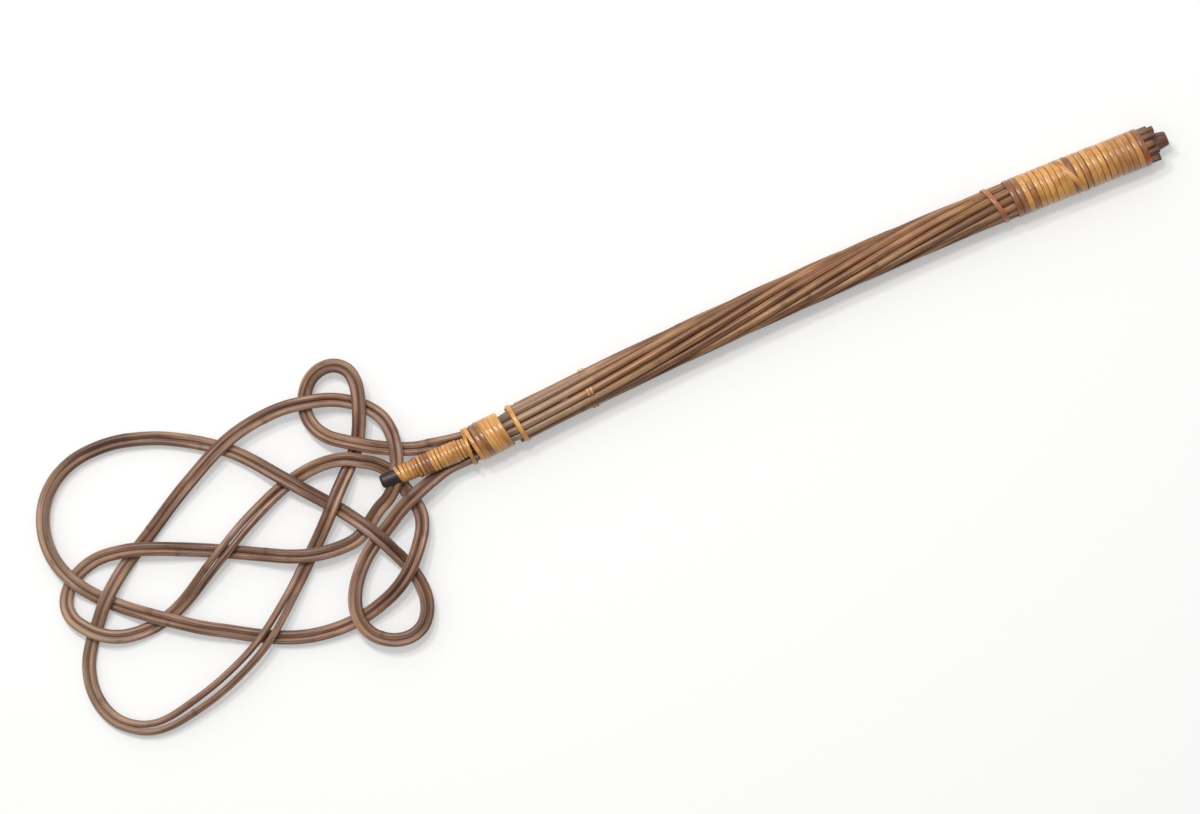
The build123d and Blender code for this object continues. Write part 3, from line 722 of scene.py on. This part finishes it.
# How strong each change of colour is where it is complete
HEAD_FADE = 0.5
HANDLE_FADE = 0.8
# Darker cane ends at the butt and beside the neck: painted shade, with the cut ends' own darker tone
BUTT_DARKENING = 0.9
NECK_DARKENING = 0.8

# The rings that a cane's mesh is made of: their sides, and their spacing in metres
HEAD_RINGS = (18, 0.0026)
HANDLE_RINGS = (16, 0.0035)


def grow_cane(name, points, material, start, rings, knots, radius, tone, bleached, darker_ends):
    sides, spacing = rings
    fields = {"tone": [tone] * len(points), "bleached": bleached, "darker_ends": darker_ends}
    return grow(name, points, fields, BENT_CANE, {
        "Radius": radius * MM, "Ring spacing": spacing, "Sides": sides, "Unevenness": CANE_UNEVENNESS,
        "Knot spacing": knots, "Knot swell": KNOT_SWELL, "Start": start, "Material": material})


def head_cane(name, outer, start, knots, tone):
    line = head_cane_line(outer)
    clean = [0.0] * len(line)
    faded = [HEAD_FADE * rising(-p.x, *HEAD_FADE_STRETCH) for p in line]
    return grow_cane(name, line, HEAD, start, HEAD_RINGS, knots, HEAD_RADIUS, tone, faded, clean)


inner = head_cane("head_cane_inner_bent", outer=False, start=0.0, knots=0.235, tone=0.62)
declare(inner, "head_cane_inner")
outer = head_cane("head_cane_outer_bent", outer=True, start=5.0, knots=0.262, tone=0.42)
declare(outer, "head_cane_outer")
for number in range(HANDLE_CANES):
    node = "handle_cane_%02d" % (number + 1)
    line = handle_cane_line(number)
    bleached = [HANDLE_FADE * rising(-p.x, *HANDLE_FADE_STRETCH) for p in line]
    # darker towards both ends: painted shade, with the cut ends' own darker tone
    darker_ends = [BUTT_DARKENING * rising(p.x, *BUTT_DARKENING_STRETCH) + NECK_DARKENING * rising(-p.x, *NECK_DARKENING_STRETCH)
              for p in line]
    # each cane has its own stretch of the grain, and its own distance between knots
    start = FIRST_GRAIN + GRAIN_STEP * number
    knots = LEAST_KNOTS + KNOTS_STEP * ((number * 5) % 7)
    cane = grow_cane(node + "_laid", line, HANDLE, start, HANDLE_RINGS, knots, HANDLE_RADIUS,
                     CANE_TONES[number], bleached, darker_ends)
    declare(cane, node)


# The windings
def between(table, turns):
    """Reads a list of (turn, value) smoothly."""
    for (a, low), (b, high) in zip(table, table[1:]):
        if a <= turns <= b:
            return low + (high - low) * ease((turns - a) / (b - a))
    return table[-1][1] if turns > table[-1][0] else table[0][1]


def always(value):
    """A table for between() with one value."""
    return [(0, value)]


def wound(name, centre_at, turns, start_angle, place_at, radius_at, widths, height, tones, material, start):
    """A strip wound round a bundle: rules for its place and radius, tables for its width and tone."""
    count = round(turns * WINDING_STEPS)
    points, outward, tone, broad = [], [], [], []
    for k in range(count + 1):
        done = turns * k / count
        angle = math.radians(start_angle) + 2 * math.pi * done
        x = place_at(done, angle)
        out = Vector((0, math.cos(angle), math.sin(angle)))
        points.append(centre_at(x) + out * radius_at(x, angle, done))
        outward.append(out)
        tone.append(between(tones, done))
        broad.append(between(widths, done) / 2 * MM)
    fields = {"outward": outward, "tone": tone, "broad": broad, "high": [height * MM] * len(points)}
    return grow(name, points, fields, WOUND_STRIP, {"Start": start, "Material": material})


# A strip begins below the bundle. The middle of its crowned section sits above what it lies
# on, and the ends of a strip that lies over other turns are this long, in turns.
FROM_BELOW = -90
STRIP_SIT = 0.33
OVER_END = 0.1


def straight_between(table, done):
    low = min(int(done), len(table) - 2)
    return table[low][1] + (table[low + 1][1] - table[low][1]) * (done - low)


def turns_at(table):
    """Where turns lie whose starts are in a table."""
    return lambda done, angle: straight_between(table, done)


def single_turn(place, pitch, lean):
    """Where a turn lies: its start, how far it goes along in a turn, and how far it leans."""
    return lambda done, angle: place + pitch * done - lean * math.cos(angle)


def tucked_in(done, turns, depth):
    """How far a strip over other turns sinks at both its ends."""
    return depth * (ease((OVER_END - done) / OVER_END) + ease((done - turns + OVER_END) / OVER_END))


def jittered(values, amount, seed):
    """The values as a table for between(), each moved a little."""
    shake = random.Random(seed)
    return [(k, value + shake.uniform(-amount, amount)) for k, value in enumerate(values)]


# Grip: close turns, some of them red-brown, and one that runs aslant over the others
GRIP_TURNS = 23
GRIP_LENGTH = 111.5
GRIP_STRIP = 4.1
GRIP_PITCH = (GRIP_LENGTH - GRIP_STRIP) / GRIP_TURNS
GRIP_RADIUS = RING_RADIUS_AT_GRIP + CANE_RADIUS
GRIP_HEIGHT = 0.60
GRIP_DIP = 0.10
GRIP_OVER_TURNS = 0.62
GRIP_OVER_ANGLE = -10
GRIP_OVER_PLACE = -86.0
GRIP_OVER_TRAVEL = 17.5
GRIP_OVER_LIFT = 1.05
GRIP_OVER_SINK = 0.75
GRIP_OVER_WIDTH = 4.3
GRIP_OVER_HEIGHT = 0.55
first_place = -GRIP_END + GRIP_STRIP / 2
grip_starts = jittered([first_place + GRIP_PITCH * k for k in range(GRIP_TURNS + 1)],
                       amount=0.28, seed=11)
grip_starts[0] = (0, first_place)
grip_widths = jittered([4.62] * (GRIP_TURNS + 1), amount=0.3, seed=12)
grip_lifts = jittered([0.0] * (GRIP_TURNS + 1), amount=0.10, seed=13)
grip_tones = [(0, 0.95), (1.7, 0.8), (2.3, 0.15), (3.2, 0.1), (3.7, 0.75), (4.2, 0.1), (6, 0.12), (9.2, 0.05),
              (9.6, 0.3), (10.05, 1.0), (10.6, 0.9), (11.1, 0.1), (12.4, 0.45), (13.0, 0.1), (14.2, 0.25),
              (16, 0.05), (17.4, 0.4), (18.0, 0.25), (18.7, 0.55), (19.2, 0.3), (19.7, 0.6), (20.2, 0.3),
              (20.7, 0.6), (21.2, 0.45), (21.7, 0.35), (22.25, 0.9), (22.52, 1.0), (22.64, 1.75), (22.8, 1.3),
              (22.9, 0.8), (23, 0.7)]
grip_over_tones = [(0, 0.8), (0.2, 0.1), (0.4, 0.2), (GRIP_OVER_TURNS, 0.7)]


def grip_radius(x, angle, done):
    """The strip sinks a little between the canes below it."""
    dip = GRIP_DIP * (0.5 - 0.5 * math.cos(HANDLE_CANES * angle))
    return GRIP_RADIUS + STRIP_LIFT + STRIP_SIT - dip + between(grip_lifts, done)


def grip_over_place(done, angle):
    return GRIP_OVER_PLACE + GRIP_OVER_TRAVEL * ease(done / GRIP_OVER_TURNS)


def grip_over_radius(x, angle, done):
    return GRIP_RADIUS + GRIP_OVER_LIFT - tucked_in(done, GRIP_OVER_TURNS, GRIP_OVER_SINK)


grip = wound("grip_winding", handle_centre, GRIP_TURNS, FROM_BELOW, turns_at(grip_starts), grip_radius,
             grip_widths, GRIP_HEIGHT, grip_tones, AMBER, start=0.0)
grip_over = wound("grip over", handle_centre, GRIP_OVER_TURNS, GRIP_OVER_ANGLE, grip_over_place,
                  grip_over_radius, always(GRIP_OVER_WIDTH), GRIP_OVER_HEIGHT, grip_over_tones, AMBER,
                  start=20.0)
declare(joined("grip_winding_whole", [grip, grip_over]), "grip_binding")


# Neck: fewer and less even turns, drawn in tight and leaning, with a narrow one askew in front
NECK_TURNS = 8
NECK_STRIP = 4.0
NECK_PITCH = (NECK_LENGTH - NECK_STRIP) / NECK_TURNS
NECK_PITCH_SHARES = (1.24, 1.12, 0.98, 0.95, 0.88, 0.98, 0.92, 0.93)
NECK_SETBACK = 2.6
NECK_SHIFT = 0.45
NECK_RADIUS = 13.75
NECK_HEIGHT = 0.65
NECK_DROP_SPREAD = 1.4
NECK_OVER_TURNS = 0.6
NECK_OVER_ANGLE = -12
NECK_OVER_PLACE = -557.0
NECK_OVER_TRAVEL = 7.5
NECK_OVER_RADIUS = 14.65
NECK_OVER_SINK = 0.8
NECK_OVER_WIDTH = 3.4
NECK_OVER_HEIGHT = 0.5
NECK_OVER_TONE = 0.05
neck_starts = [(0, NECK_FRONT + NECK_SETBACK)]
for share in NECK_PITCH_SHARES:
    neck_starts.append((len(neck_starts), neck_starts[-1][1] + NECK_PITCH * share))
neck_widths = jittered([2.9, 3.0, 4.0, 4.5, 4.6, 4.5, 4.2, 4.4, 3.6], amount=0.2, seed=21)
neck_lifts = jittered([0.2, 0.2, 0.0, 0.3, 0.1, 0.3, 0.1, 0.2, 0.0], amount=0.15, seed=22)
neck_leans = [(0, -1.6), (0.9, -1.2), (1.4, 1.3), (3.0, 1.0), (4.4, 1.7), (6.0, 1.2), (7.4, 1.6), (8, 1.2)]
neck_drops = [(0, 2.2), (1, 2.0), (2, 1.0), (3, 0.4), (4, 0.0)]
neck_tones = [(0, 0.35), (0.45, 0.1), (0.7, 0.5), (1.0, 0.3), (1.3, 0.05), (2.1, 0.1), (2.30, 0.95),
              (2.55, 0.55), (2.75, 0.1), (3.2, 0.7), (3.5, 0.85), (3.8, 0.9), (4.2, 0.1), (4.55, 0.1),
              (4.75, 0.75), (5.1, 0.1), (6.2, 0.05), (6.6, 0.2), (6.8, 0.7), (7.1, 0.15), (7.5, 0.2),
              (7.8, 0.8), (8, 0.8)]


def neck_centre(x):
    return handle_centre(x) + Vector((0, NECK_SHIFT, 0))


def neck_place(done, angle):
    return straight_between(neck_starts, done) - between(neck_leans, done) * math.cos(angle)


def neck_radius(x, angle, done):
    """The front turns lie lower above, where only the tie is below them."""
    drop = between(neck_drops, done) * ease(NECK_DROP_SPREAD * math.sin(angle))
    return NECK_RADIUS + between(neck_lifts, done) - drop


def neck_over_place(done, angle):
    return NECK_OVER_PLACE + NECK_OVER_TRAVEL * ease(done / NECK_OVER_TURNS)


def neck_over_radius(x, angle, done):
    return NECK_OVER_RADIUS - tucked_in(done, NECK_OVER_TURNS, NECK_OVER_SINK)


neck = wound("neck_winding", neck_centre, NECK_TURNS, FROM_BELOW, neck_place, neck_radius,
             neck_widths, NECK_HEIGHT, neck_tones, AMBER, start=3.0)
neck_over = wound("neck over", neck_centre, NECK_OVER_TURNS, NECK_OVER_ANGLE, neck_over_place,
                  neck_over_radius, always(NECK_OVER_WIDTH), NECK_OVER_HEIGHT, always(NECK_OVER_TONE),
                  AMBER, start=23.0)
declare(joined("neck_winding_whole", [neck, neck_over]), "neck_binding")

# The single turn beside the neck, and the red one behind the grip: place, pitch and lean
BAND_TURN = (-533.0, 3.8, 1.3)
REAR_TURN = (-141.0, 6.0, 2.6)
BAND_WIDTH = 4.0
REAR_WIDTH = 3.9
BAND_HEIGHT = 0.6
band_tones = [(0, 0.3), (0.35, 0.1), (0.55, 0.0), (0.75, 0.3), (1, 0.5)]
rear_tones = [(0, 0.5), (0.4, 0.1), (0.7, 0.3), (1, 0.6)]


def band_radius(x, angle, done):
    return ring_radius_at(x) + CANE_RADIUS + STRIP_LIFT + STRIP_SIT


band = wound("neck_end_turn", handle_centre, 1, FROM_BELOW, single_turn(*BAND_TURN), band_radius,
             always(BAND_WIDTH), BAND_HEIGHT, band_tones, AMBER, start=4.4)
declare(band, "neck_end_band")
rear = wound("rear_turn", handle_centre, 1, FROM_BELOW, single_turn(*REAR_TURN), band_radius,
             always(REAR_WIDTH), BAND_HEIGHT, rear_tones, RED, start=6.0)
declare(rear, "rear_band")


# Tie: narrow turns round the dark stick, and loops that go over its crown beside the crossing
TIE_TURNS = 14
TIE_START = STICK_SLOT_END + 2.4
TIE_END = NECK_FRONT + 4.6
TIE_HEIGHT = 0.5
TIE_SIT = 0.48
TIE_STAND_OFF = 1.0
TIE_SWELL = 0.35
LOOP_TURNS = 0.66
LOOP_ANGLE = -30
LOOP_PITCH = 0.5
LOOP_WIDTH = 3.0

# The turns stand off the stick from its sides upwards: from this sine of the angle, and over
# this much of it. Beside the neck they settle on it again by this share, from this place and
# over this length.
SIDE_RISE = (-0.5, 0.5)
NECK_SETTLE = 0.7
NECK_SETTLE_STRETCH = (NECK_FRONT - 5, 6)

# The loops' places, leans and tones
LOOPS = ((-627.6, 1.6, 0.05), (-624.4, 0.6, 0.15), (-621.5, 0.2, 0.4), (-618.5, 0.1, 0.15),
         (-615.6, 0.0, 0.55))
tie_pitch = (TIE_END - TIE_START) / TIE_TURNS
tie_starts = jittered([TIE_START + tie_pitch * k for k in range(TIE_TURNS + 1)], amount=0.15, seed=31)
tie_widths = jittered([2.9] * (TIE_TURNS + 1), amount=0.45, seed=32)
tie_lifts = jittered([0.1] * (TIE_TURNS + 1), amount=0.22, seed=33)
tie_tones = [(0, 0.5), (0.8, 0.6), (1.6, 0.2), (2.4, 0.8), (3.0, 0.95), (3.6, 0.9), (4.2, 0.3),
             (5.2, 0.15), (6.3, 0.1), (7.2, 0.3), (8.2, 0.1), (9.3, 0.2), (14, 0.25)]


def crossing_ceiling():
    return knot_middle(STICK_SLOT_END) + LEVEL + CANE_RADIUS + CROSSING_CLEARANCE


def stick_centre(x):
    """The dark stick's line, from the neck down to the crossing that its slot holds."""
    base = handle_centre(NECK_FRONT)
    slot_x = STICK_SLOT_END - STICK_SLOT / 2
    share = (NECK_FRONT - x) / (NECK_FRONT - slot_x)
    offset = STICK_OFFSET + (STICK_OFFSET_AT_SLOT - STICK_OFFSET) * share
    neck_z = base.z + STICK_RAISE
    slot_z = crossing_ceiling() + STICK_CROWN - STICK_RADIUS
    return Vector((x, base.y + offset, neck_z + (slot_z - neck_z) * share))


def tie_radius(x, angle, done):
    """The turns stand off above and at the sides, and lie close where the strands pass below."""
    clear = rising(math.sin(angle), *SIDE_RISE) * (1 - NECK_SETTLE * rising(x, *NECK_SETTLE_STRETCH))
    swell = TIE_SWELL * rising(x, TIE_START, TIE_END - TIE_START) * max(0, math.sin(angle))
    return STICK_RADIUS + TIE_SIT + swell + (TIE_STAND_OFF + between(tie_lifts, done)) * clear


def loop_radius(x, angle, done):
    return STICK_RADIUS + TIE_SIT


ties = [wound("tie_winding", stick_centre, TIE_TURNS, FROM_BELOW, turns_at(tie_starts), tie_radius,
              tie_widths, TIE_HEIGHT, tie_tones, AMBER, start=8.0)]
for k, (x, lean, tone) in enumerate(LOOPS):
    place_at = single_turn(x, LOOP_PITCH, lean)
    ties.append(wound("tie loop %d" % k, stick_centre, LOOP_TURNS, LOOP_ANGLE, place_at, loop_radius,
                      always(LOOP_WIDTH), TIE_HEIGHT, always(tone), AMBER, start=30.0 + k))
declare(joined("tie_winding_whole", ties), "tie_binding")


# Solids that stay as they are, with a finish
def coat(node, material):
    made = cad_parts[node]
    made.data.materials.clear()
    made.data.materials.append(material)


coat("tie_stick", BLACK)
coat("handle_core", CORE)
coat("mid_tie", TIE)

# Floor, light and camera: places and sizes in metres, the sensor and the lens in millimetres
CENTRE = Vector((-469.7, -13.5, TABLE)) * MM
RIGHT = Vector((0.915, -0.403, 0))
UP = Vector((0.403, 0.915, 0))
FLOOR_REACH = 4.0
FLOOR_COLOUR = (0.72, 0.72, 0.712, 1)
FLOOR_GLOW = 0.28
LAMP_SIZE = 0.24
SKY_LOW = 0.24
SKY_RISE = 0.76
SENSOR_WIDTH = 36
LENS = 100
SEEN_WIDTH = 0.9
CAMERA_LIFT = 0.015

floor_mesh = bpy.data.meshes.new("floor")
corners = ((-1, -1), (1, -1), (1, 1), (-1, 1))
floor_mesh.from_pydata([CENTRE + Vector((x, y, 0)) * FLOOR_REACH for x, y in corners], [], [(0, 1, 2, 3)])
floor = bpy.data.objects.new("floor", floor_mesh)
bpy.context.scene.collection.objects.link(floor)
floor_material, floor_tree, floor_shader = new_material("pale floor")
floor_shader.inputs["Base Color"].default_value = FLOOR_COLOUR
path = floor_tree.node("ShaderNodeLightPath").outputs
clear = floor_tree.math("MAXIMUM", path["Is Glossy Ray"], path["Is Transmission Ray"])
clear = floor_tree.math("MAXIMUM", path["Is Camera Ray"], clear)
floor_tree.join(floor_tree.math("MULTIPLY", clear, FLOOR_GLOW), floor_shader.inputs["Emission Strength"])
floor_shader.inputs["Emission Color"].default_value = (1, 1, 1, 1)
floor_shader.inputs["Roughness"].default_value = 0.9
floor_shader.inputs["Specular IOR Level"].default_value = 0.1
floor_mesh.materials.append(floor_material)


def softbox(name, right, up, height, power):
    """A square lamp that faces the beater's middle, placed from there as the camera sees it."""
    place = CENTRE + RIGHT * right + UP * up + Vector((0, 0, height))
    lamp = bpy.data.lights.new(name, "AREA")
    lamp.shape = "SQUARE"
    lamp.size = LAMP_SIZE
    lamp.energy = power
    made = bpy.data.objects.new(name, lamp)
    made.location = place
    made.rotation_euler = (CENTRE - place).to_track_quat("-Z", "Y").to_euler()
    bpy.context.scene.collection.objects.link(made)


softbox("high softbox", right=-0.25, up=0.75, height=2.1, power=13.0)
softbox("low softbox", right=-0.7, up=1.05, height=2.0, power=13.2)

# The sky is brighter on the lamps' side
world = bpy.data.worlds.new("studio")
world.use_nodes = True
background = world.node_tree.nodes["Background"]
background.inputs["Color"].default_value = (1, 1, 1, 1)
sky = Tree(world.node_tree)
bright_side = (UP * 0.9 - RIGHT * 0.4 + Vector((0, 0, 0.8))).normalized()
direction = sky.node("ShaderNodeTexCoord").outputs["Generated"]
towards = sky.node("ShaderNodeVectorMath", {0: direction, 1: bright_side}, operation="DOT_PRODUCT")
glow = sky.math("MULTIPLY_ADD", sky.math("MAXIMUM", towards.outputs["Value"], 0.0), SKY_RISE, SKY_LOW)
sky.join(glow, background.inputs["Strength"])
bpy.context.scene.world = world
bpy.context.scene.view_settings.view_transform = "Standard"

camera_data = bpy.data.cameras.new("camera")
camera_data.lens = LENS
camera_data.sensor_width = SENSOR_WIDTH
camera = bpy.data.objects.new("camera", camera_data)
camera.location = CENTRE + Vector((0, 0, SEEN_WIDTH * LENS / SENSOR_WIDTH + CAMERA_LIFT))
camera.rotation_euler = (0, 0, math.atan2(RIGHT.y, RIGHT.x))
bpy.context.scene.collection.objects.link(camera)
bpy.context.scene.camera = camera
